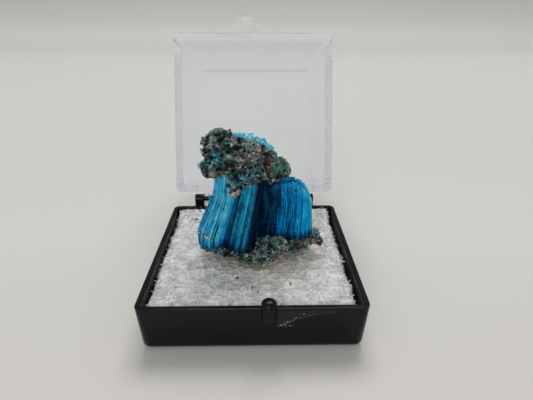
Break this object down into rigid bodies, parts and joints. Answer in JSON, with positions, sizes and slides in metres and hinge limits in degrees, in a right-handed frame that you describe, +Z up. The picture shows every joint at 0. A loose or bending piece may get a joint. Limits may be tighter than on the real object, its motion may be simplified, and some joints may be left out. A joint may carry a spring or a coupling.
{
  "type": "chalcanthite specimen in hinged box",
  "caption": "Thumbnail specimen of blue fibrous chalcanthite between dark crusts, on white foam in a small black box whose deep clear lid stands open on its hinge.",
  "frame": {"origin": "centre of the underside of the box's base", "axes": "+Z up, +Y towards the hinge, +X to the right as seen from the latch"},
  "size_m": [0.0322, 0.069, 0.0427],
  "materials": {
    "black_styrene": "gloss",
    "clear_styrene": "gloss",
    "clear_film": "gloss",
    "white_foam": "matte",
    "green_grey_crust": "matte",
    "chalcanthite_blue": "satin"
  },
  "bodies": {
    "base": {"box_base": "black_styrene", "foam_insert": "white_foam", "lower_matrix": "green_grey_crust", "upper_matrix": "green_grey_crust", "chalcanthite_crystals": "chalcanthite_blue"},
    "lid": {"box_lid": "clear_styrene", "torn_tape": "clear_film"}
  },
  "joints": [
    {"name": "lid_hinge", "type": "hinge", "parent": "base", "child": "lid", "pos_m": [0, 0.01715, 0.00883], "axis": [1, 0, 0], "range_deg": [0, 110.6]}
  ]
}
